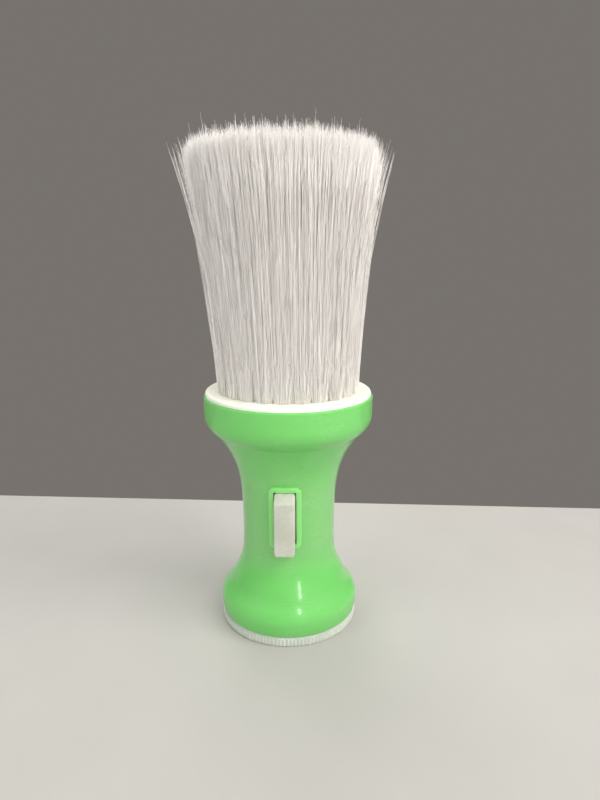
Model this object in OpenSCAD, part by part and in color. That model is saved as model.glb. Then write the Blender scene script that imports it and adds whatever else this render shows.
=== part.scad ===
// Barber's neck brush with a talc reservoir in the handle.
// It stands on its screw-off base cap, bristles up, with the slide switch towards -Y.
// All sizes are in millimetres. The origin is the centre of the foot.

/* [Overall] */
// Height from the foot to the bristle tips
total_h = 180; // [165:1:220]
// Height of the handle's top rim above the foot
rim_z = 92.3; // [90:0.1:112]

/* [Handle] */
// Outer radius at the waist
waist_r = 18.2; // [15:0.1:21.6]
// Outer radius of the bulge above the base
base_r = 27.5; // [23:0.1:33]
// Outer radius of the collar around the bristles
collar_r = 32.25; // [30:0.05:38.7]
// Height of the collar's straight wall
collar_h = 6.3; // [5.2:0.1:8]
// Thickness of the moulded wall
wall_t = 1.6; // [1.4:0.1:2]

/* [Slide switch] */
// Length of the slot for the switch
slot_h = 21.3; // [20:0.1:26]
// Width of the slot
slot_w = 8.7; // [8:0.1:10.5]
// Travel of the switch, from closed (up) to open (down)
travel = 6; // [5:0.1:7.2]
// Width of the frame's bars around the slot
frame_bar = 1.6; // [1.2:0.1:2]
// How far the frame stands proud of the waist
frame_proud = 1; // [0.8:0.1:1.3]
// How far the button stands out from the frame
button_proud = 4; // [3.3:0.1:4.8]
// How far the button laps over the frame's lower bar
button_lap = 3.2; // [2.6:0.1:3.4]

/* [Base cap] */
// Height of the knurled band
cap_h = 3.7; // [3:0.1:4.5]
// Number of knurls round the cap
knurl_n = 120; // [90:1:144]
// Depth of a knurl
knurl_d = 0.35; // [0.2:0.05:0.5]
// Thickness of the handle between the bulge's outside and the threaded socket
socket_wall = 5.1; // [4.5:0.1:6]
// Height of the cap's threaded collar
plug_h = 9.5; // [9.5:0.1:11]
// Pitch of the thread
pitch = 4; // [3.6:0.1:4.8]
// Height of the thread ridge
ridge_h = 1; // [0.8:0.1:1.2]
// Thickness of the gasket
gasket_t = 0.8; // [0.6:0.1:1]

/* [Brush] */
// Thickness of the brush plate
plate_t = 8; // [7:0.1:10]
// Radius of a tuft hole
tuft_r = 2.3; // [1.9:0.05:2.7]
// Distance from the collar's outside to the centres of the outermost tufts
ring_edge = 7.55; // [6.3:0.05:9.05]
// Distance between the rings of tufts
ring_step = 5.6; // [5:0.1:5.8]
// How far the bristle tips spread past the collar
tip_spread = 1.65; // [1:0.05:3]
// Depth of a tuft hole
tuft_depth = 6; // [5:0.1:6.4]

/* [Talc outlet] */
// Radius of the outlet through the brush plate
outlet_r = 6; // [5:0.1:6.5]
// Radius of the holes in the sifter
sift_r = 0.6; // [0.4:0.1:0.7]
// Wall of the talc tube
tube_t = 1.4; // [1.2:0.1:1.6]

/* [Fits] */
// Clearance between the talc tube and the handle's bore
tube_gap = 0.35; // [0.3:0.05:0.45]
// Clearance of the button in its slot, each side
button_gap = 0.5; // [0.3:0.05:0.6]
// Clearance between the two thread ridges and their walls
thread_gap = 0.3; // [0.25:0.05:0.35]
// Running clearance of seals and of the valve
seal_gap = 0.05; // [0.03:0.01:0.08]
// Clearance between parts fitted together for good
seat_gap = 0.02; // [0.01:0.01:0.05]

/* [Hidden] */
$fn = 96;
green = [0.46, 0.84, 0.44];
white = [0.93, 0.93, 0.88];
rubber = [0.82, 0.82, 0.8];
hair = [0.86, 0.83, 0.79];
eps = 0.01;

// Sizes that follow the collar and the base
ring_r = collar_r - ring_edge;
tip_r = collar_r + tip_spread;
socket_r = base_r - socket_wall;

// Heights along the handle
foot_z = cap_h + 0.3;
bulge_z = foot_z + 4.7;
shoulder_z = rim_z - collar_h;
crease_z = shoulder_z - 8.8;
waist_z = 38;
socket_top = foot_z + plug_h + 1.2;

// The bore that guides the talc tube, and the tube in it
bore_r = waist_r - wall_t;
bore_lo = socket_top + 6;
tube_r = bore_r - tube_gap;
tube_in = tube_r - tube_t;
tube_lo = socket_top + 6.8;
plate_lo = rim_z + 1.7 - plate_t;
tube_hi = plate_lo - 2;
wiper_z = tube_lo + 8;
wiper_h = 1.6;
wiper_in = tube_r - 0.7;
throat_z = crease_z - 12;
throat_r = collar_r - 4.75 - wall_t;

// The brush plate, and the outlet sleeve with the valve seat under it
plate_hi = rim_z + 1.7;
lip_r = collar_r - 0.7;
plate_r = collar_r - wall_t - seat_gap;
sleeve_r = tube_in - 0.4;
sleeve_in = sleeve_r - 1.4;
sleeve_lo = tube_hi - 14;
seat_h = 2;
seat_flare = 2;
seat_z = plate_lo - seat_h;
sift_r_out = outlet_r + 1.5;
sift_deep = 1.5;
neck_out = sift_r_out + 1;
seal_z = sleeve_lo + 2;
seal_h = 1.4;
seal_in = sleeve_r - 0.6;
plug_t = 2.5;
spider_z = sleeve_lo - travel - 1.5;
spider_t = 1.6;
spider_r = tube_in + 0.5;
arm_w = 1.4;
stem_r = 1.6;

// The slide switch
slot_hi = rim_z - 32.9;
slot_lo = slot_hi - slot_h;
slot_corner = 0.6;
button_w = slot_w - 2 * button_gap;
button_hi = slot_hi - 0.3;
button_lo = slot_lo - button_lap;
frame_r = waist_r + frame_proud;
button_reach = frame_r + button_proud;
leg_lo = slot_lo + travel + 0.6;
ramp = 3.4;
hook_t = 1.2;
hook_w = 3;
hook_zs = [leg_lo + 0.8, button_hi - 2.2 - hook_t];

// The base cap and its thread
cap_r = base_r - 0.3;
foot_r = base_r - 0.6;
plug_r = socket_r - ridge_h - thread_gap;
plug_in = plug_r - 1.8;
ridge_w = pitch * 0.4;
crest_w = pitch * 0.2;
turns = 1.25;
thread_z = foot_z + 1.2;
ridge_root = 0.35;
cap_floor = 2.2;
cap_bevel = 0.5;
foot_w = 6;
foot_hollow = 0.6;
groove_d = gasket_t - 0.25;
groove_out = foot_r - 0.8;
groove_in = foot_r - 2.8;

// The tufts, ring by ring
ring_radii = [for (i = [0:2]) ring_r - i * ring_step];
ring_counts = [24, 18, 12];
fan = tip_r / (ring_r + tuft_r);
core_z = plate_hi + 45;
root_z = plate_hi - tuft_depth;
staple_h = 1.6;
staple_t = 0.4;

// Points of a cubic curve from a to d, without its first point
function curve(a, b, c, d, n = 12) = [for (i = [1:n]) let (t = i / n, s = 1 - t)
    s * s * s * a + 3 * s * s * t * b + 3 * s * t * t * c + t * t * t * d];

// The handle's outline from its foot up to its rim, as radius and height
neck = [waist_r + 4.6, bulge_z + 8.7];
crease = [collar_r - 4.75, crease_z];
bulge = [base_r, bulge_z];
waist = [waist_r, waist_z];
shoulder = [collar_r, shoulder_z];
outline = concat([[foot_r, foot_z]],
    curve([foot_r, foot_z], [base_r - 0.2, foot_z + 1.5], bulge - [0, 1.5], bulge, 5),
    curve(bulge, bulge + [0, 3.9], neck + [2, -4.2], neck, 10),
    curve(neck, neck + [-3.6, 7.6], waist - [0, 12.4], waist),
    curve(waist, waist + [0, 23.4], [waist_r + 1.6, crease_z - 10.4], crease, 16),
    curve(crease, crease + [2.6, 2.2], shoulder - [0, 4.9], shoulder, 10),
    [[collar_r, rim_z - 0.5], [collar_r - 0.4, rim_z]]);

module rounded(w, h, r) {
    square([w - 2 * r, h], center = true);
    square([w, h - 2 * r], center = true);
    for (x = [-1, 1], z = [-1, 1])
        translate([x * (w / 2 - r), z * (h / 2 - r)]) circle(r);
}

// A rounded bar that runs along Y from y0 to y1, centred on the slot's middle
module front_bar(w, h, r, y0, y1, z) {
    translate([0, y1, z]) rotate([90, 0, 0]) linear_extrude(y1 - y0) rounded(w, h, r);
}

module ring(r_out, r_in, h) {
    difference() {
        cylinder(r = r_out, h = h);
        translate([0, 0, -eps]) cylinder(r = r_in, h = h + 2 * eps);
    }
}

// A helical ridge on radius r: side 1 stands outward, side -1 stands inward
module thread(r, side, z0, steps = 48) {
    n = ceil(turns * steps);
    sunk = r - side * ridge_root;
    crest = r + side * ridge_h;
    points = [for (i = [0:n]) let (a = 360 * i / steps, z = z0 + pitch * i / steps)
        each [for (p = [[sunk, -ridge_w / 2], [crest, -crest_w / 2],
                [crest, crest_w / 2], [sunk, ridge_w / 2]])
            [p[0] * cos(a), p[0] * sin(a), z + p[1]]]];
    walls = [for (i = [0:n - 1], k = [0:3]) let (a = 4 * i + k, b = 4 * i + (k + 1) % 4)
        each [[a, b, b + 4], [a, b + 4, a + 4]]];
    ends = [[3, 2, 1, 0], [4 * n, 4 * n + 1, 4 * n + 2, 4 * n + 3]];
    faces = concat(walls, ends);
    polyhedron(points, side < 0 ? [for (f = faces) [for (k = [len(f) - 1:-1:0]) f[k]]] : faces);
}

module handle_shell() {
    color(green) {
        difference() {
            union() {
                rotate_extrude() polygon(concat(outline, [[0, rim_z], [0, foot_z]]));
                intersection() {
                    front_bar(slot_w + 2 * frame_bar, slot_h + 2 * frame_bar, slot_corner + 1,
                        -collar_r, -bore_r + 3, (slot_lo + slot_hi) / 2);
                    rotate_extrude() polygon(concat([for (p = outline) p + [frame_proud, 0]],
                        [[0, rim_z], [0, foot_z]]));
                }
            }
            rotate_extrude() polygon([[0, foot_z - 1], [socket_r, foot_z - 1],
                [socket_r, socket_top], [bore_r, bore_lo], [bore_r, throat_z],
                [throat_r, crease_z + 1], [collar_r - wall_t - 1, plate_lo - 1],
                [collar_r - wall_t, plate_lo - 1], [collar_r - wall_t, rim_z + 1],
                [0, rim_z + 1]]);
            front_bar(slot_w, slot_h, slot_corner, -collar_r, -bore_r + 4, (slot_lo + slot_hi) / 2);
        }
        thread(socket_r, -1, thread_z);
    }
}

module tuft_places() {
    for (i = [0:2], k = [0:ring_counts[i] - 1])
        rotate([0, 0, 360 * k / ring_counts[i]]) translate([ring_radii[i], 0, 0]) children();
}

module brush_plate() {
    color(white) difference() {
        rotate_extrude() polygon(concat(
            [[neck_out + seat_gap, plate_lo], [plate_r, plate_lo], [plate_r, rim_z + seat_gap],
             [lip_r, rim_z + seat_gap]],
            [for (a = [0:15:90]) [lip_r - 1 + cos(a), plate_hi - 1 + sin(a)]],
            [[neck_out + seat_gap, plate_hi]]));
        tuft_places() translate([0, 0, root_z]) cylinder(r = tuft_r, h = tuft_depth + 1);
    }
}

module outlet_sleeve() {
    color(white) difference() {
        rotate_extrude() polygon([[outlet_r, seat_z + seat_h], [outlet_r + seat_flare, seat_z],
            [sleeve_in, seat_z], [sleeve_in, sleeve_lo], [sleeve_r, sleeve_lo],
            [sleeve_r, plate_lo - seat_gap], [neck_out, plate_lo - seat_gap], [neck_out, plate_hi],
            [sift_r_out, plate_hi], [sift_r_out, plate_hi - sift_deep],
            [outlet_r, plate_hi - sift_deep]]);
        translate([0, 0, seal_z]) ring(sleeve_r + 1, seal_in, seal_h);
    }
}

module outlet_sifter() {
    color(white) translate([0, 0, plate_hi - sift_deep + seat_gap]) difference() {
        cylinder(r = sift_r_out - seat_gap, h = 1.2);
        for (i = [1:2], k = [0:6 * i - 1])
            rotate([0, 0, 60 * k / i]) translate([2 * i, 0, -1]) cylinder(r = sift_r, h = 4);
        translate([0, 0, -1]) cylinder(r = sift_r, h = 4);
    }
}

// One ring of tufts as a sleeve over its holes, with a root in each hole
module tuft_ring(i) {
    count = ring_counts[i];
    r_out = ring_radii[i] + tuft_r;
    r_in = i < 2 ? ring_radii[i + 1] + tuft_r + 0.1 : ring_radii[2] - tuft_r;
    inside = i < 2 ? [[r_in * fan, total_h]] : [[0, total_h], [0, core_z]];
    color(hair) {
        rotate_extrude() polygon(concat([[r_in, plate_hi + seat_gap], [r_out, plate_hi + seat_gap],
            [r_out * fan, total_h]], inside));
        for (k = [0:count - 1]) rotate([0, 0, 360 * k / count])
            translate([ring_radii[i], 0, root_z + staple_h + 0.2])
                cylinder(r = tuft_r - seat_gap, h = tuft_depth - staple_h);
    }
}

module tufts_outer() tuft_ring(0);

module tufts_middle() tuft_ring(1);

module tufts_inner() tuft_ring(2);

module tuft_staples() {
    color("silver") tuft_places() translate([-staple_t / 2, -tuft_r * 0.96, root_z + seat_gap])
        cube([staple_t, tuft_r * 1.92, staple_h]);
}

module sleeve_seal() {
    color(rubber) translate([0, 0, seal_z + seat_gap])
        ring(tube_in - seal_gap, seal_in + seat_gap, seal_h - 2 * seat_gap);
}

module slide_button() {
    lap_y = -frame_r - 0.4;
    color(white) {
        difference() {
            intersection() {
                translate([-button_w / 2, 0, 0]) rotate([90, 0, 90]) linear_extrude(button_w)
                    polygon([[-button_reach, button_lo], [-button_reach, button_hi - ramp],
                        [-button_reach + ramp, button_hi], [-bore_r - 0.4, button_hi],
                        [-bore_r - 0.4, leg_lo], [lap_y, leg_lo], [lap_y, button_lo]]);
                front_bar(button_w, button_hi - button_lo, 1.3, -button_reach - 1, 0,
                    (button_lo + button_hi) / 2);
            }
            translate([-button_w / 2 + 1.2, -frame_r + 0.2, leg_lo + 1.2])
                cube([button_w - 2.4, frame_r, button_hi - leg_lo - 2.4]);
        }
        for (z = hook_zs) translate([0, 0, z]) hook();
    }
}

// A snap leg that passes through the slot and grips the inside of the talc tube
module hook() {
    translate([-hook_w / 2, -frame_r - 0.2, 0]) cube([hook_w, frame_r - tube_in + 1, hook_t]);
    translate([-hook_w / 2, -tube_in + 0.15, 0]) cube([hook_w, 0.75, hook_t + 0.6]);
}

module hook_holes() {
    for (z = hook_zs) translate([-hook_w / 2 - 0.1, -tube_r - 1, z - 0.1])
        cube([hook_w + 0.2, 4, hook_t + 0.2]);
}

module talc_tube() {
    color(white) difference() {
        translate([0, 0, tube_lo]) ring(tube_r, tube_in, tube_hi - tube_lo);
        translate([0, 0, wiper_z]) ring(tube_r + 1, wiper_in, wiper_h);
        translate([0, 0, spider_z]) cylinder(r = spider_r, h = spider_t);
        hook_holes();
    }
}

module valve_stem() {
    color(white) translate([0, 0, spider_z]) {
        translate([0, 0, seat_gap]) ring(spider_r - seat_gap, tube_in - 1, spider_t - 2 * seat_gap);
        for (a = [30:120:270]) rotate([0, 0, a]) translate([0, -arm_w / 2, seat_gap])
            cube([tube_in - 0.5, arm_w, spider_t - 2 * seat_gap]);
        translate([0, 0, seat_gap]) cylinder(r = stem_r, h = seat_z - spider_z);
    }
}

module valve_plug() {
    side = outlet_r + seat_flare - 2 * seal_gap;
    color(rubber) difference() {
        rotate_extrude() polygon([[0, seat_z - plug_t], [outlet_r + 1, seat_z - plug_t],
            [side, seat_z - 0.6], [side, seat_z], [outlet_r - 2 * seal_gap, seat_z + seat_h],
            [0, seat_z + seat_h]]);
        translate([0, 0, seat_z - 5]) cylinder(r = stem_r + seat_gap, h = 5 + 3 * seat_gap);
    }
}

module tube_wiper() {
    color(rubber) translate([0, 0, wiper_z + seat_gap])
        ring(bore_r - seal_gap, wiper_in + seat_gap, wiper_h - 2 * seat_gap);
}

module cap_gasket() {
    color(rubber) translate([0, 0, cap_h - groove_d + seat_gap])
        ring(groove_out - seat_gap, groove_in + seat_gap, gasket_t - 3 * seat_gap);
}

module base_cap() {
    color(white) {
        difference() {
            union() {
                translate([0, 0, cap_bevel]) linear_extrude(cap_h - 2 * cap_bevel)
                    polygon([for (i = [0:2 * knurl_n - 1])
                        let (r = cap_r - knurl_d * (i % 2), a = 180 * i / knurl_n)
                        [r * cos(a), r * sin(a)]]);
                cylinder(r = cap_r - knurl_d - 0.2, h = cap_h);
                cylinder(r = plug_r, h = foot_z + plug_h);
            }
            translate([0, 0, cap_floor]) cylinder(r = plug_in, h = plug_h + foot_z);
            translate([0, 0, -1]) cylinder(r = foot_r - foot_w, h = 1 + foot_hollow);
            translate([0, 0, cap_h - groove_d]) ring(groove_out, groove_in, 1);
        }
        thread(plug_r, 1, thread_z + pitch / 2);
    }
}

handle_shell();
brush_plate();
outlet_sleeve();
outlet_sifter();
tufts_outer();
tufts_middle();
tufts_inner();
tuft_staples();
sleeve_seal();
slide_button();
talc_tube();
valve_stem();
valve_plug();
tube_wiper();
cap_gasket();
base_cap();
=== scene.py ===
import math

import bpy
import numpy as np
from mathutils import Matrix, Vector


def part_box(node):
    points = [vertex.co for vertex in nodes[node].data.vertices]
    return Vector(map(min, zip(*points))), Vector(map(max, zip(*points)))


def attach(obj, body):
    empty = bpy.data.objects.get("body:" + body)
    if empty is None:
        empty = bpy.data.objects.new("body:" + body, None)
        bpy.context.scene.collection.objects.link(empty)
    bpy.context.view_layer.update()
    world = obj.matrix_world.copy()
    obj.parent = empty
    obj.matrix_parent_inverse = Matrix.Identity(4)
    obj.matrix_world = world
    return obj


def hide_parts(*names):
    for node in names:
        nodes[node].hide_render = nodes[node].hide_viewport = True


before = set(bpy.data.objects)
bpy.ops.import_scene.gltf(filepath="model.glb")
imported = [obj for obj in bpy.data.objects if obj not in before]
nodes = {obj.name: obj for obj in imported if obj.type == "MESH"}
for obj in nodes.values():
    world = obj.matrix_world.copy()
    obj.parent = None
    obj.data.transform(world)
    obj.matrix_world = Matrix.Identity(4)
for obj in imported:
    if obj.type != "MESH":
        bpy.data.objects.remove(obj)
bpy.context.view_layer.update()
mm = 0.001
sameSpot = 1e-6

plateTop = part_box("brush_plate")[1].z
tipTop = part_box("tufts_outer")[1].z
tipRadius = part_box("tufts_outer")[1].x


# Helpers for working in edit mode

def clearSelection():
    if bpy.context.object and bpy.context.object.mode != "OBJECT":
        bpy.ops.object.mode_set(mode="OBJECT")
    bpy.ops.object.select_all(action="DESELECT")


def pickOnly(piece):
    clearSelection()
    piece.select_set(True)
    bpy.context.view_layer.objects.active = piece


def startPiece(name):
    piece = bpy.context.active_object
    piece.name = name
    piece.data.name = name
    return piece


def editOn(mode="FACE"):
    bpy.ops.object.mode_set(mode="EDIT")
    bpy.ops.mesh.select_mode(type=mode)
    bpy.ops.mesh.select_all(action="DESELECT")


def editOff():
    bpy.ops.object.mode_set(mode="OBJECT")


def pickFaces(piece, test):
    bpy.ops.mesh.select_all(action="DESELECT")
    bpy.ops.object.mode_set(mode="OBJECT")
    for face in piece.data.polygons:
        face.select = bool(test(face.center, face.normal))
    bpy.ops.object.mode_set(mode="EDIT")


def pickEdges(piece, test):
    bpy.ops.mesh.select_all(action="DESELECT")
    bpy.ops.object.mode_set(mode="OBJECT")
    spots = [v.co.copy() for v in piece.data.vertices]
    for edge in piece.data.edges:
        edge.select = bool(test(spots[edge.vertices[0]], spots[edge.vertices[1]]))
    bpy.ops.object.mode_set(mode="EDIT")


def applyAll(piece):
    pickOnly(piece)
    for step in list(piece.modifiers):
        bpy.ops.object.modifier_apply(modifier=step.name)


def settle(piece):
    pickOnly(piece)
    bpy.ops.object.transform_apply(location=True, rotation=True, scale=True)


def smoothBy(piece, degrees):
    pickOnly(piece)
    bpy.ops.object.shade_smooth_by_angle(angle=math.radians(degrees))


def faceOutwards():
    bpy.ops.mesh.select_all(action="SELECT")
    bpy.ops.mesh.normals_make_consistent(inside=False)


def roundEdges(piece, width, segments, degrees):
    soften = piece.modifiers.new("edges", "BEVEL")
    soften.width = width
    soften.segments = segments
    soften.limit_method = "ANGLE"
    soften.angle_limit = math.radians(degrees)
    applyAll(piece)


def runsInwards(first, second):
    # true of an edge that runs straight from the front to the back
    return abs(first.x - second.x) < sameSpot and abs(first.z - second.z) < sameSpot


def wear(piece, material):
    piece.data.materials.clear()
    piece.data.materials.append(material)


# Shader groups that the materials share

def newGroup(name, inputs, outputs):
    group = bpy.data.node_groups.new(name, "ShaderNodeTree")
    for label, kind, value in inputs:
        socket = group.interface.new_socket(name=label, in_out="INPUT", socket_type=kind)
        socket.default_value = value
    for label, kind in outputs:
        group.interface.new_socket(name=label, in_out="OUTPUT", socket_type=kind)
    return group, group.nodes.new("NodeGroupInput"), group.nodes.new("NodeGroupOutput")


def noiseNode(tree, scale, detail=3.0, roughness=0.5):
    node = tree.nodes.new("ShaderNodeTexNoise")
    node.inputs["Scale"].default_value = scale
    node.inputs["Detail"].default_value = detail
    node.inputs["Roughness"].default_value = roughness
    return node


def spanNode(tree, source, low, high, outLow=0.0, outHigh=1.0):
    node = tree.nodes.new("ShaderNodeMapRange")
    node.inputs["From Min"].default_value = low
    node.inputs["From Max"].default_value = high
    node.inputs["To Min"].default_value = outLow
    node.inputs["To Max"].default_value = outHigh
    tree.links.new(source, node.inputs["Value"])
    return node.outputs["Result"]


def mathNode(tree, operation, *values):
    node = tree.nodes.new("ShaderNodeMath")
    node.operation = operation
    for socket, value in zip(node.inputs, values):
        if hasattr(value, "links"):
            tree.links.new(value, socket)
        else:
            socket.default_value = value
    return node.outputs[0]


def mixColour(tree, factor, first, second):
    node = tree.nodes.new("ShaderNodeMix")
    node.data_type = "RGBA"
    tree.links.new(factor, node.inputs["Factor"])
    for socket, value in ((node.inputs["A"], first), (node.inputs["B"], second)):
        if hasattr(value, "links"):
            tree.links.new(value, socket)
        else:
            socket.default_value = (*value, 1.0)
    return node.outputs["Result"]


def buildTalcDust():
    # fine powder that settles in patches: a mask, and the roughness under it
    group, given, out = newGroup(
        "talcDust",
        [("Vector", "NodeSocketVector", (0, 0, 0)), ("Amount", "NodeSocketFloat", 0.3),
         ("Roughness", "NodeSocketFloat", 0.4)],
        [("Mask", "NodeSocketFloat"), ("Roughness", "NodeSocketFloat")])
    link = group.links.new
    patch = noiseNode(group, 60.0, 4.0, 0.6)
    speck = noiseNode(group, 900.0, 2.0, 0.5)
    link(given.outputs["Vector"], patch.inputs["Vector"])
    link(given.outputs["Vector"], speck.inputs["Vector"])
    patchMask = spanNode(group, patch.outputs["Fac"], 0.45, 0.75)
    speckMask = spanNode(group, speck.outputs["Fac"], 0.35, 0.7)
    both = mathNode(group, "MULTIPLY", patchMask, speckMask)
    scaled = mathNode(group, "MULTIPLY", both, given.outputs["Amount"])
    link(scaled, out.inputs["Mask"])
    link(mathNode(group, "MULTIPLY_ADD", scaled, 0.5, given.outputs["Roughness"]),
         out.inputs["Roughness"])
    return group


def buildMouldSkin():
    # the faint waviness and grain of a moulded surface, as a height
    group, given, out = newGroup(
        "mouldSkin",
        [("Vector", "NodeSocketVector", (0, 0, 0)), ("Wave", "NodeSocketFloat", 0.5),
         ("Grain", "NodeSocketFloat", 0.2)],
        [("Height", "NodeSocketFloat")])
    link = group.links.new
    wave = noiseNode(group, 90.0, 1.0)
    grain = noiseNode(group, 2200.0, 2.0)
    for node in (wave, grain):
        link(given.outputs["Vector"], node.inputs["Vector"])
    rise = mathNode(group, "MULTIPLY", wave.outputs["Fac"], given.outputs["Wave"])
    link(mathNode(group, "MULTIPLY_ADD", grain.outputs["Fac"], given.outputs["Grain"], rise),
         out.inputs["Height"])
    return group


talcDust = buildTalcDust()
mouldSkin = buildMouldSkin()


def newMaterial(name, **fixed):
    material = bpy.data.materials.new(name)
    material.use_nodes = True
    tree = material.node_tree
    shader = tree.nodes["Principled BSDF"]
    for label, value in fixed.items():
        shader.inputs[label.replace("_", " ")].default_value = value
    place = tree.nodes.new("ShaderNodeTexCoord").outputs["Object"]
    return material, tree, shader, place


def placeGroup(tree, group, place, **values):
    node = tree.nodes.new("ShaderNodeGroup")
    node.node_tree = group
    tree.links.new(place, node.inputs["Vector"])
    for label, value in values.items():
        node.inputs[label].default_value = value
    return node


def bumpFrom(tree, shader, height, strength, distance):
    bump = tree.nodes.new("ShaderNodeBump")
    bump.inputs["Strength"].default_value = strength
    bump.inputs["Distance"].default_value = distance
    tree.links.new(height, bump.inputs["Height"])
    tree.links.new(bump.outputs["Normal"], shader.inputs["Normal"])


# Materials

greenLook = {"deep": (0.165, 0.575, 0.135), "clear": (0.21, 0.54, 0.172), "rough": 0.22, "dust": 0.1}
# the slot frame is the shell's own green; this lighter copy of it is painted light, as if its proud
# bars caught more light
litFrameLook = {"deep": (0.2, 0.68, 0.155), "clear": (0.25, 0.71, 0.2), "rough": 0.22, "dust": 0.1}


def makeGreenPlastic(name, look):
    material, tree, shader, place = newMaterial(
        name, Subsurface_Weight=0.35, Subsurface_Scale=0.004, Coat_Weight=0.2,
        Coat_Roughness=0.1, IOR=1.49)
    shader.inputs["Subsurface Radius"].default_value = (0.5, 1.0, 0.45)
    link = tree.links.new
    parts = tree.nodes.new("ShaderNodeSeparateXYZ")
    link(place, parts.inputs[0])
    # the white tube behind the thin waist makes it paler
    up = spanNode(tree, parts.outputs["Z"], 0.024, 0.034)
    down = spanNode(tree, parts.outputs["Z"], 0.058, 0.072, 1.0, 0.0)
    waist = mathNode(tree, "MULTIPLY", up, down)
    cloud = noiseNode(tree, 45.0, 3.0, 0.6)
    link(place, cloud.inputs["Vector"])
    blendIn = mathNode(tree, "MULTIPLY_ADD", cloud.outputs["Fac"], 0.3, waist)
    plain = mixColour(tree, spanNode(tree, blendIn, 0.1, 1.25), look["deep"], look["clear"])
    dust = placeGroup(tree, talcDust, place, Amount=look["dust"], Roughness=look["rough"])
    link(mixColour(tree, dust.outputs["Mask"], plain, (0.75, 0.88, 0.72)),
         shader.inputs["Base Color"])
    link(dust.outputs["Roughness"], shader.inputs["Roughness"])
    skin = placeGroup(tree, mouldSkin, place, Wave=1.0, Grain=0.04)
    bumpFrom(tree, shader, skin.outputs["Height"], 0.3, 0.0005)
    return material


whiteLooks = {
    "plateWhite": {"colour": (0.89, 0.9, 0.75), "shade": (0.92, 0.925, 0.8), "rough": 0.42,
                   "dust": 0.7, "soft": 0.3, "grain": 0.3},
    "buttonWhite": {"colour": (0.48, 0.495, 0.415), "shade": (0.53, 0.545, 0.465), "rough": 0.34,
                    "dust": 0.4, "soft": 0.25, "grain": 0.2},
    "tubeWhite": {"colour": (0.8, 0.8, 0.74), "shade": (0.86, 0.86, 0.82), "rough": 0.45,
                  "dust": 0.6, "soft": 0.2, "grain": 0.2},
    "capWhite": {"colour": (0.54, 0.595, 0.51), "shade": (0.6, 0.64, 0.57), "rough": 0.42,
                 "dust": 0.35, "soft": 0.25, "grain": 0.3},
}


def makeWhitePlastic(name):
    look = whiteLooks[name]
    material, tree, shader, place = newMaterial(
        name, Subsurface_Weight=look["soft"], Subsurface_Scale=0.003, IOR=1.46)
    shader.inputs["Subsurface Radius"].default_value = (1.0, 0.9, 0.6)
    cloud = noiseNode(tree, 120.0, 4.0, 0.6)
    tree.links.new(place, cloud.inputs["Vector"])
    plain = mixColour(tree, spanNode(tree, cloud.outputs["Fac"], 0.35, 0.7), look["colour"],
                      look["shade"])
    dust = placeGroup(tree, talcDust, place, Amount=look["dust"], Roughness=look["rough"])
    tree.links.new(mixColour(tree, dust.outputs["Mask"], plain, (0.93, 0.93, 0.9)),
                   shader.inputs["Base Color"])
    tree.links.new(dust.outputs["Roughness"], shader.inputs["Roughness"])
    skin = placeGroup(tree, mouldSkin, place, Wave=0.4, Grain=look["grain"])
    bumpFrom(tree, shader, skin.outputs["Height"], 0.4, 0.0003)
    return material


# the tip colour is painted shade: a darker colour for the tops of the bristles, where the top light
# falls
hairLook = {"dark": (0.915, 0.87, 0.83), "light": (0.98, 0.95, 0.92), "root": (0.95, 0.94, 0.85),
            "tip": (0.8, 0.765, 0.73), "rough": 0.36}


def makeHair():
    material, tree, shader, place = newMaterial(
        "softFilament", Roughness=hairLook["rough"], Sheen_Weight=0.2, Sheen_Roughness=0.4,
        Specular_IOR_Level=0.6, IOR=1.5)
    link = tree.links.new
    tone = tree.nodes.new("ShaderNodeAttribute")
    tone.attribute_name = "strandTone"
    strand = mixColour(tree, tone.outputs["Fac"], hairLook["dark"], hairLook["light"])
    along = tree.nodes.new("ShaderNodeAttribute")
    along.attribute_name = "strandLength"
    rootMask = spanNode(tree, along.outputs["Fac"], 0.0, 0.12, 0.6, 0.0)
    fine = noiseNode(tree, 700.0, 2.0)
    stretch = tree.nodes.new("ShaderNodeMapping")
    stretch.inputs["Scale"].default_value = (1.0, 1.0, 0.06)
    link(place, stretch.inputs["Vector"])
    link(stretch.outputs["Vector"], fine.inputs["Vector"])
    streak = spanNode(tree, fine.outputs["Fac"], 0.3, 0.75, 0.0, 0.4)
    streaked = mixColour(tree, streak, strand, (0.985, 0.97, 0.95))
    # painted shade: the tips are darkened towards the top of the head, against the light that falls
    # there
    tipShadeMask = spanNode(tree, along.outputs["Fac"], 0.84, 1.0, 0.0, 0.8)
    tipShaded = mixColour(tree, tipShadeMask, streaked, hairLook["tip"])
    link(mixColour(tree, rootMask, tipShaded, hairLook["root"]), shader.inputs["Base Color"])
    return material


def makeRubber():
    material, tree, shader, place = newMaterial("sealRubber", IOR=1.5)
    cloud = noiseNode(tree, 300.0, 3.0)
    tree.links.new(place, cloud.inputs["Vector"])
    plain = mixColour(tree, cloud.outputs["Fac"], (0.55, 0.55, 0.52), (0.68, 0.68, 0.65))
    dust = placeGroup(tree, talcDust, place, Amount=0.6, Roughness=0.6)
    tree.links.new(mixColour(tree, dust.outputs["Mask"], plain, (0.9, 0.9, 0.88)),
                   shader.inputs["Base Color"])
    tree.links.new(dust.outputs["Roughness"], shader.inputs["Roughness"])
    skin = placeGroup(tree, mouldSkin, place, Wave=0.2, Grain=0.5)
    bumpFrom(tree, shader, skin.outputs["Height"], 0.3, 0.0002)
    return material


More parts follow.
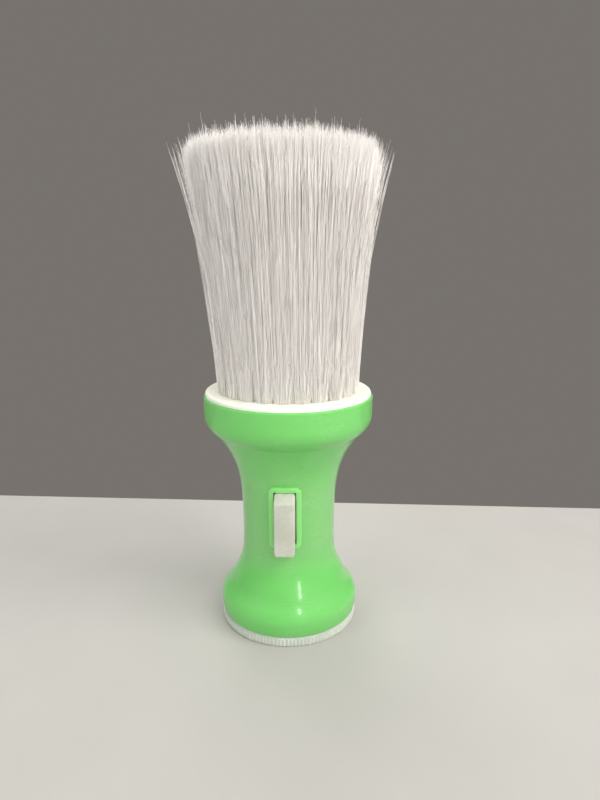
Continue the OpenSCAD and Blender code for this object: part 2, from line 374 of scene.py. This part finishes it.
def makeStaple():
    material, tree, shader, place = newMaterial("stapleWire", Metallic=1.0)
    drawn = noiseNode(tree, 1500.0, 2.0)
    tree.links.new(place, drawn.inputs["Vector"])
    tree.links.new(mixColour(tree, drawn.outputs["Fac"], (0.5, 0.49, 0.46), (0.72, 0.7, 0.66)),
                   shader.inputs["Base Color"])
    tree.links.new(spanNode(tree, drawn.outputs["Fac"], 0.2, 0.8, 0.25, 0.5),
                   shader.inputs["Roughness"])
    return material


greenPlastic = makeGreenPlastic("greenPlastic", greenLook)
# a lighter copy of the shell's green: painted light on the slot frame
litFrameGreen = makeGreenPlastic("litFrameGreen", litFrameLook)
plateWhite = makeWhitePlastic("plateWhite")
buttonWhite = makeWhitePlastic("buttonWhite")
tubeWhite = makeWhitePlastic("tubeWhite")
capWhite = makeWhitePlastic("capWhite")
hair = makeHair()
sealRubber = makeRubber()
stapleWire = makeStaple()
print("materials ready")


# The filaments of the brush

hairSet = {
    "filamentR": 0.075 * mm, "tipShare": 0.3, "stops": (0.0, 0.018, 0.06, 0.2, 0.5, 0.82, 1.0),
    "holeR": 2.2 * mm, "sunk": 1.6 * mm, "ease": 0.33, "lean": -1.7 * mm,
    "acrossTip": 4.7 * mm, "outTip": 2.2 * mm, "wander": 1.1 * mm, "bow": 1.2 * mm, "flare": 1.4,
    "clumps": 30, "clumpPull": 0.15, "clumpTall": 0.5 * mm, "uneven": 1.3 * mm, "taller": 0.2 * mm,
    "sideRise": -1.0 * mm, "spread": 1.2556, "outBow": 0.3, "clumpTone": 0.4, "ownTone": 0.6,
    "turn": 2.39996, "seed": 27,
    "rings": {
        "outer": {"radius": 24.7 * mm, "count": 24, "strands": 560, "shares": 3, "inward": 0.0},
        "middle": {"radius": 19.1 * mm, "count": 18, "strands": 280, "shares": 1, "inward": 0.0},
        "inner": {"radius": 13.5 * mm, "count": 12, "strands": 400, "shares": 1,
                  "inward": 9.0 * mm},
    },
}


def modelFilament():
    # one filament, a unit long and a unit in radius, tapered to its tip
    clearSelection()
    bpy.ops.mesh.primitive_circle_add(vertices=3, radius=1.0, fill_type="NGON", location=(0, 0, 0))
    piece = startPiece("filamentPattern")
    editOn()
    bpy.ops.mesh.select_all(action="SELECT")
    stops = hairSet["stops"]
    for low, high in zip(stops[:-1], stops[1:]):
        bpy.ops.mesh.extrude_region_move(TRANSFORM_OT_translate={"value": (0, 0, high - low)})
    share = hairSet["tipShare"]
    bpy.ops.transform.resize(value=(share, share, 1.0), center_override=(0, 0, 1.0))
    faceOutwards()
    editOff()
    return piece


def strandPaths(rng, ring, share):
    # each filament of part of a ring of tufts: its root, its spread and its height at the tip
    first, last = share
    widest = hairSet["rings"]["outer"]
    count = ring["strands"]
    paths = {"root": [], "axis": [], "aside": [], "bow": [], "tone": []}
    for tuft in range(first, last):
        angle = 2 * math.pi * tuft / ring["count"]
        out = np.array([math.cos(angle), math.sin(angle)])
        across = np.array([-out[1], out[0]])
        home = out * ring["radius"]
        spin = rng.uniform(0, 2 * math.pi, count)
        reach = np.sqrt(rng.uniform(0, 1, count))
        sideways, outward = np.cos(spin) * reach, np.sin(spin) * reach
        root = home + hairSet["holeR"] * (sideways[:, None] * across + outward[:, None] * out)
        wide = hairSet["acrossTip"] * ring["radius"] / widest["radius"] * widest["count"]
        wide = wide / ring["count"]
        deep = np.where(outward < 0, hairSet["outTip"] + ring["inward"], hairSet["outTip"])
        # an even spread at the tip, where the hole's disc would leave the sides thin
        evenSide, evenOut = [(s * np.sqrt(1 - s * s) + np.arcsin(s)) * 2 / math.pi
                             for s in (sideways, outward)]
        tipSide = evenSide * wide + rng.normal(0, hairSet["wander"], count)
        tipOut = evenOut * deep + rng.normal(0, hairSet["wander"], count)
        seeds = rng.integers(0, count, hairSet["clumps"])
        gap = (tipSide[:, None] - tipSide[seeds]) ** 2 + (tipOut[:, None] - tipOut[seeds]) ** 2
        group = gap.argmin(1)
        pull = hairSet["clumpPull"] * rng.uniform(0.2, 1.0, hairSet["clumps"])[group]
        tipSide += (tipSide[seeds][group] - tipSide) * pull
        tipOut += (tipOut[seeds][group] - tipOut) * pull
        aside = (tipSide - hairSet["holeR"] * sideways)[:, None] * across
        axis = home * (hairSet["spread"] - 1.0) + (
            tipOut - hairSet["holeR"] * outward)[:, None] * out
        axis[:, 0] += hairSet["lean"]
        tip = root + axis + aside
        tall = rng.normal(0, hairSet["clumpTall"], hairSet["clumps"])[group]
        tall = tall + rng.normal(0, hairSet["uneven"], count) + hairSet["taller"]
        tall = tall + hairSet["sideRise"] * (np.abs(tip[:, 0]) / tipRadius) ** 3
        low = plateTop - hairSet["sunk"]
        paths["root"].append(np.column_stack([root, np.full(count, low)]))
        paths["axis"].append(np.column_stack([axis, tipTop + tall - low]))
        paths["aside"].append(aside)
        paths["bow"].append(rng.normal(0, hairSet["bow"], (count, 1)) * across
                            + rng.normal(0, hairSet["bow"] * hairSet["outBow"], (count, 1)) * out)
        clumpTone = rng.uniform(0.0, hairSet["clumpTone"], hairSet["clumps"])[group]
        paths["tone"].append(clumpTone + rng.uniform(0.0, hairSet["ownTone"], count))
    return {key: np.concatenate(found) for key, found in paths.items()}


def plantStrands(name, pattern, paths):
    # copies the filament along each path and keeps its tone and its place along the strand
    shape = np.array([v.co[:] for v in pattern.data.vertices])
    faces = np.array([list(p.vertices) + [-1] * (4 - len(p.vertices))
                      for p in pattern.data.polygons])
    count, size = len(paths["root"]), len(shape)
    t = shape[:, 2]
    flat = np.zeros((count, size, 3))
    flat[:, :, :2] = paths["aside"][:, None, :] * (t ** hairSet["ease"])[None, :, None]
    flat[:, :, :2] += paths["bow"][:, None, :] * (4 * t * (1 - t))[None, :, None]
    turns = np.arange(count) * hairSet["turn"]
    cosT, sinT = np.cos(turns)[:, None], np.sin(turns)[:, None]
    thick = shape[:, :2] * hairSet["filamentR"]
    flat[:, :, 0] += thick[None, :, 0] * cosT - thick[None, :, 1] * sinT
    flat[:, :, 1] += thick[None, :, 0] * sinT + thick[None, :, 1] * cosT
    climb = np.stack([t ** hairSet["flare"], t ** hairSet["flare"], t], 1)
    spots = paths["root"][:, None, :] + paths["axis"][:, None, :] * climb[None] + flat
    loops = [[v for v in row if v >= size * k] for k in range(count)
             for row in np.where(faces < 0, -1, faces + size * k).tolist()]
    mesh = bpy.data.meshes.new(name)
    mesh.from_pydata(spots.reshape(-1, 3).tolist(), [], loops)
    tone = mesh.attributes.new("strandTone", "FLOAT", "POINT")
    tone.data.foreach_set("value", np.repeat(paths["tone"], size).astype(np.float32))
    length = mesh.attributes.new("strandLength", "FLOAT", "POINT")
    length.data.foreach_set("value", np.tile(t, count).astype(np.float32))
    mesh.polygons.foreach_set("use_smooth", np.ones(len(mesh.polygons), dtype=bool))
    mesh.update()
    piece = bpy.data.objects.new(name, mesh)
    bpy.context.scene.collection.objects.link(piece)
    wear(piece, hair)
    return piece


def plantBrush():
    rng = np.random.default_rng(hairSet["seed"])
    pattern = modelFilament()
    for ringName, ring in hairSet["rings"].items():
        step = ring["count"] // ring["shares"]
        for part in range(ring["shares"]):
            paths = strandPaths(rng, ring, (part * step, (part + 1) * step))
            piece = plantStrands(f"bristles_{ringName}_{part}", pattern, paths)
            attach(piece, "handle")
            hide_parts(f"tufts_{ringName}")
    plantStrays(rng, pattern)
    bpy.data.objects.remove(pattern)


straySet = {"count": 420, "wide": 2.8 * mm, "low": 6 * mm, "high": 4.5 * mm, "tallest": 8 * mm,
            "rootIn": 22.5 * mm, "rootOut": 26.2 * mm, "tallShare": 0.06, "least": 0.4,
            "bow": 1.6 * mm}


def plantStrays(rng, pattern):
    # the few filaments that stand out past the trimmed head
    count = straySet["count"]
    angle = rng.uniform(0, 2 * math.pi, count)
    out = np.stack([np.cos(angle), np.sin(angle)], 1)
    low = plateTop - hairSet["sunk"]
    root = out * rng.uniform(straySet["rootIn"], straySet["rootOut"], count)[:, None]
    reach = tipRadius + np.abs(rng.normal(0, straySet["wide"], count))
    rise = tipTop - rng.uniform(0, straySet["low"], count)
    tallOnes = rng.uniform(0, 1, count) < straySet["tallShare"]
    rise[tallOnes] = tipTop + rng.uniform(straySet["high"] * straySet["least"],
                                          straySet["tallest"], tallOnes.sum())
    reach[tallOnes] *= rng.uniform(straySet["least"], 1.0, tallOnes.sum())
    axis = np.column_stack([out * reach[:, None] - root, rise - low])
    axis[:, 0] += hairSet["lean"]
    paths = {"root": np.column_stack([root, np.full(count, low)]), "axis": axis,
             "aside": np.zeros((count, 2)),
             "bow": -out * rng.uniform(0, straySet["bow"], count)[:, None],
             "tone": rng.uniform(hairSet["clumpTone"], 1.0, count)}
    piece = plantStrands("bristles_stray", pattern, paths)
    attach(piece, "handle")


plantBrush()
print("bristles planted")


# The raised frame around the switch slot, and the switch's button

outlineSet = {"neck": (22.8, 17.4), "waist": (18.2, 38.0), "crease": (27.5, 77.2),
              "neckPull": (19.2, 25.0), "waistLow": (18.2, 25.6), "waistHigh": (18.2, 61.4),
              "creasePull": (19.8, 66.8), "steps": 24}


def outlinePoints():
    # the handle's outline between its neck and its crease, as radius and height in millimetres
    o = outlineSet
    found = []
    for a, b, c, d in ((o["neck"], o["neckPull"], o["waistLow"], o["waist"]),
                       (o["waist"], o["waistHigh"], o["creasePull"], o["crease"])):
        for step in range(o["steps"] + 1):
            t, s = step / o["steps"], 1 - step / o["steps"]
            found.append([s ** 3 * a[i] + 3 * s * s * t * b[i] + 3 * s * t * t * c[i] + t ** 3 * d[i]
                          for i in (0, 1)])
    return np.array(found)


outline = outlinePoints()


def waistRadius(z):
    return float(np.interp(z / mm, outline[:, 1], outline[:, 0])) * mm


frameSet = {"width": 8.7 * mm, "low": 38.1 * mm, "high": 59.4 * mm, "bar": 1.6 * mm,
            "cover": 0.17 * mm, "proud": 1.25 * mm, "sunk": 0.7 * mm, "corner": 2.2 * mm,
            "edge": 0.5 * mm, "rows": 14, "columns": 3}


def modelSlotFrame():
    f = frameSet
    wide = f["width"] + 2 * f["bar"] + 2 * f["cover"]
    tall = f["high"] - f["low"] + 2 * f["bar"] + 2 * f["cover"]
    middle = (f["high"] + f["low"]) / 2
    deep = f["proud"] + f["sunk"]
    clearSelection()
    bpy.ops.mesh.primitive_cube_add(size=1.0, location=(0, -(f["proud"] - f["sunk"]) / 2, middle),
                                    scale=(wide, deep, tall))
    piece = startPiece("slotFrame")
    settle(piece)
    pickOnly(piece)
    editOn("EDGE")
    pickEdges(piece, runsInwards)
    bpy.ops.mesh.bevel(offset=f["corner"], segments=6, affect="EDGES")
    bpy.ops.mesh.select_mode(type="FACE")
    pickFaces(piece, lambda c, n: abs(n.y) > 0.9)
    bpy.ops.mesh.inset(thickness=f["bar"] + 2 * f["cover"], depth=0.0)
    bpy.ops.mesh.bridge_edge_loops()
    # cuts along and across, so that it can follow the round waist
    for count in range(1, f["rows"]):
        height = middle - tall / 2 + tall * count / f["rows"]
        bpy.ops.mesh.select_all(action="SELECT")
        bpy.ops.mesh.bisect(plane_co=(0, 0, height), plane_no=(0, 0, 1))
    for aside in range(-f["columns"], f["columns"] + 1):
        bpy.ops.mesh.select_all(action="SELECT")
        bpy.ops.mesh.bisect(plane_co=(aside * mm, 0, 0), plane_no=(1, 0, 0))
    faceOutwards()
    editOff()
    roundEdges(piece, f["edge"], 3, 50)
    # lay it on the round waist
    for vert in piece.data.vertices:
        around = waistRadius(vert.co.z) - vert.co.y
        vert.co.y = -math.sqrt(around ** 2 - vert.co.x ** 2)
    smoothBy(piece, 40)
    wear(piece, litFrameGreen)
    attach(piece, "handle")


buttonSet = {"width": 7.7 * mm, "low": 34.9 * mm, "high": 59.1 * mm, "front": 23.2 * mm,
             "lapBack": 19.6 * mm, "back": 17.0 * mm, "legLow": 44.7 * mm, "ramp": 3.4 * mm,
             "corner": 1.3 * mm, "edge": 0.5 * mm, "hookWide": 3.0 * mm, "hookThick": 1.2 * mm,
             "hookEnd": 14.85 * mm, "hookRoot": 1 * mm, "hookLow": 1.4 * mm,
             "hookHigh": 2.8 * mm, "barbDeep": 0.6 * mm, "barbTall": 0.5 * mm,
             "sameSpot": 0.02 * mm, "flat": 0.5}


def modelButton():
    b = buttonSet
    clearSelection()
    bpy.ops.mesh.primitive_cube_add(
        size=1.0, location=(0, -(b["front"] + b["lapBack"]) / 2, (b["low"] + b["high"]) / 2),
        scale=(b["width"], b["front"] - b["lapBack"], b["high"] - b["low"]))
    piece = startPiece("slideButton")
    settle(piece)
    pickOnly(piece)
    editOn("EDGE")
    pickEdges(piece, runsInwards)
    bpy.ops.mesh.bevel(offset=b["corner"], segments=5, affect="EDGES")
    bpy.ops.mesh.select_mode(type="FACE")
    bpy.ops.mesh.select_all(action="SELECT")
    bpy.ops.mesh.bisect(plane_co=(0, 0, b["legLow"]), plane_no=(0, 0, 1))
    pickFaces(piece, lambda c, n: n.y > 0.9 and c.z > b["legLow"])
    bpy.ops.mesh.extrude_region_move(
        TRANSFORM_OT_translate={"value": (0, b["lapBack"] - b["back"], 0)})
    bpy.ops.mesh.select_all(action="SELECT")
    bpy.ops.mesh.bisect(plane_co=(0, -b["front"] + b["ramp"], b["high"]), plane_no=(0, -1, 1),
                        clear_outer=True, use_fill=True)
    bpy.ops.mesh.select_all(action="SELECT")
    # the cut lines on flat faces would hold the rounding back
    bpy.ops.mesh.remove_doubles(threshold=b["sameSpot"])
    bpy.ops.mesh.dissolve_limited(angle_limit=math.radians(b["flat"]))
    faceOutwards()
    editOff()
    roundEdges(piece, b["edge"], 4, 30)
    legs = []
    for z in (b["legLow"] + b["hookLow"], b["high"] - b["hookHigh"]):
        legs.append(modelHook(z))
    pickOnly(piece)
    for leg in legs:
        leg.select_set(True)
    bpy.ops.object.join()
    smoothBy(piece, 35)
    wear(piece, buttonWhite)
    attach(piece, "slider")
    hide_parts("slide_button")


def modelHook(z):
    # a leg with a barb at its end, from inside the button through the wall of the tube
    b = buttonSet
    clearSelection()
    bpy.ops.mesh.primitive_cube_add(
        size=1.0, location=(0, -(b["back"] + b["hookRoot"] + b["hookEnd"]) / 2, z),
        scale=(b["hookWide"], b["back"] + b["hookRoot"] - b["hookEnd"], b["hookThick"]))
    leg = startPiece("hook")
    settle(leg)
    pickOnly(leg)
    editOn("FACE")
    pickFaces(leg, lambda c, n: n.y > 0.9)
    bpy.ops.mesh.extrude_region_move(TRANSFORM_OT_translate={"value": (0, b["barbDeep"], 0)})
    pickFaces(leg, lambda c, n: n.z > 0.9 and c.y > -b["hookEnd"])
    bpy.ops.mesh.extrude_region_move(TRANSFORM_OT_translate={"value": (0, 0, b["barbTall"])})
    faceOutwards()
    editOff()
    return leg


modelSlotFrame()
modelButton()
print("switch modelled")


# Finishes of the moulded parts that are kept

finishes = {
    "handle_shell": greenPlastic, "brush_plate": plateWhite, "outlet_sleeve": plateWhite,
    "outlet_sifter": plateWhite, "talc_tube": tubeWhite, "valve_stem": tubeWhite,
    "base_cap": capWhite, "sleeve_seal": sealRubber, "tube_wiper": sealRubber,
    "cap_gasket": sealRubber, "valve_plug": sealRubber, "tuft_staples": stapleWire,
}
for nodeName, finish in finishes.items():
    wear(nodes[nodeName], finish)
print("parts finished")


# Camera, light and floor

viewSet = {"distance": 225 * mm, "height": 143.5 * mm, "azimuth": 4.3, "pitch": 13.55,
           "aside": 1.15, "lens": 27.0, "sensor": 36.0, "nearest": 0.01}


def placeCamera():
    clearSelection()
    azimuth = math.radians(viewSet["azimuth"])
    spot = (viewSet["distance"] * math.sin(azimuth), -viewSet["distance"] * math.cos(azimuth),
            viewSet["height"])
    bpy.ops.object.camera_add(
        location=spot, rotation=(math.radians(90 - viewSet["pitch"]), 0,
                                 azimuth - math.radians(viewSet["aside"])))
    camera = bpy.context.active_object
    camera.name = "frontCamera"
    camera.data.lens = viewSet["lens"]
    camera.data.sensor_width = viewSet["sensor"]
    camera.data.clip_start = viewSet["nearest"]
    bpy.context.scene.camera = camera


lights = {
    "key": {"kind": "AREA", "at": (0.75, -0.45, 0.75), "aim": 0.09, "size": 0.9, "power": 13.0,
            "colour": (1.0, 0.985, 0.96), "gloss": False},
    "fill": {"kind": "AREA", "at": (-0.8, -0.7, 0.5), "aim": 0.09, "size": 1.2, "power": 6.8,
             "colour": (0.96, 0.98, 1.0), "gloss": False},
    "top": {"kind": "AREA", "at": (0.0, 0.25, 1.1), "aim": 0.09, "size": 1.2, "power": 6.2,
            "colour": (1.0, 1.0, 1.0), "gloss": True},
    "back": {"kind": "AREA", "at": (-0.35, 0.85, 0.55), "aim": 0.09, "size": 0.9, "power": 5.0,
             "colour": (1.0, 1.0, 1.0), "gloss": False},
    "headFront": {"kind": "SPOT", "at": (0.12, -0.85, 0.5), "aim": 0.127, "size": 0.12,
                  "power": 17.0, "colour": (1.0, 0.98, 0.95), "gloss": False},
    "headBack": {"kind": "SPOT", "at": (-0.12, 0.85, 0.5), "aim": 0.15, "size": 0.12,
                 "power": 3.5, "colour": (1.0, 0.98, 0.95), "gloss": False},
    "glintLow": {"kind": "AREA", "at": (0.37, -0.78, 0.30), "aim": 0.02, "size": 0.05,
                 "power": 0.45, "colour": (1.0, 1.0, 1.0), "gloss": True},
    "glintHigh": {"kind": "AREA", "at": (0.27, -0.59, 0.63), "aim": 0.02, "size": 0.05,
                  "power": 0.4, "colour": (1.0, 1.0, 1.0), "gloss": True},
}
spotCone = {"angle": 13.0, "blend": 0.9}
roomColour = (0.185, 0.17, 0.155)


def placeLights():
    for name, light in lights.items():
        clearSelection()
        bpy.ops.object.light_add(type=light["kind"], location=light["at"])
        lamp = bpy.context.active_object
        lamp.name = name + "Light"
        if light["kind"] == "SPOT":
            lamp.data.spot_size = math.radians(spotCone["angle"])
            lamp.data.spot_blend = spotCone["blend"]
            lamp.data.shadow_soft_size = light["size"]
        else:
            lamp.data.size = light["size"]
        lamp.data.energy = light["power"]
        lamp.data.color = light["colour"]
        lamp.visible_glossy = light["gloss"]
        aim = Vector((0, 0, light["aim"])) - Vector(light["at"])
        lamp.rotation_euler = aim.to_track_quat("-Z", "Y").to_euler()
    world = bpy.data.worlds.new("softRoom")
    world.use_nodes = True
    world.node_tree.nodes["Background"].inputs["Color"].default_value = (*roomColour, 1.0)
    world.node_tree.nodes["Background"].inputs["Strength"].default_value = 1.0
    bpy.context.scene.world = world
    bpy.context.scene.view_settings.view_transform = "Standard"


floorSet = {"wide": 3.0, "near": -1.5, "far": 0.11, "low": (0.444, 0.43, 0.405),
            "high": (0.488, 0.473, 0.447), "rough": 0.7}


def layFloor():
    clearSelection()
    f = floorSet
    bpy.ops.mesh.primitive_plane_add(size=1.0, location=(0, (f["near"] + f["far"]) / 2, 0))
    floor = startPiece("floor")
    floor.scale = (f["wide"], f["far"] - f["near"], 1)
    settle(floor)
    material, tree, shader, place = newMaterial("paleFloor", Roughness=f["rough"])
    grain = noiseNode(tree, 30.0, 4.0)
    tree.links.new(place, grain.inputs["Vector"])
    tree.links.new(mixColour(tree, grain.outputs["Fac"], f["low"], f["high"]),
                   shader.inputs["Base Color"])
    wear(floor, material)


placeCamera()
placeLights()
layFloor()
print("camera, lights and floor ready")
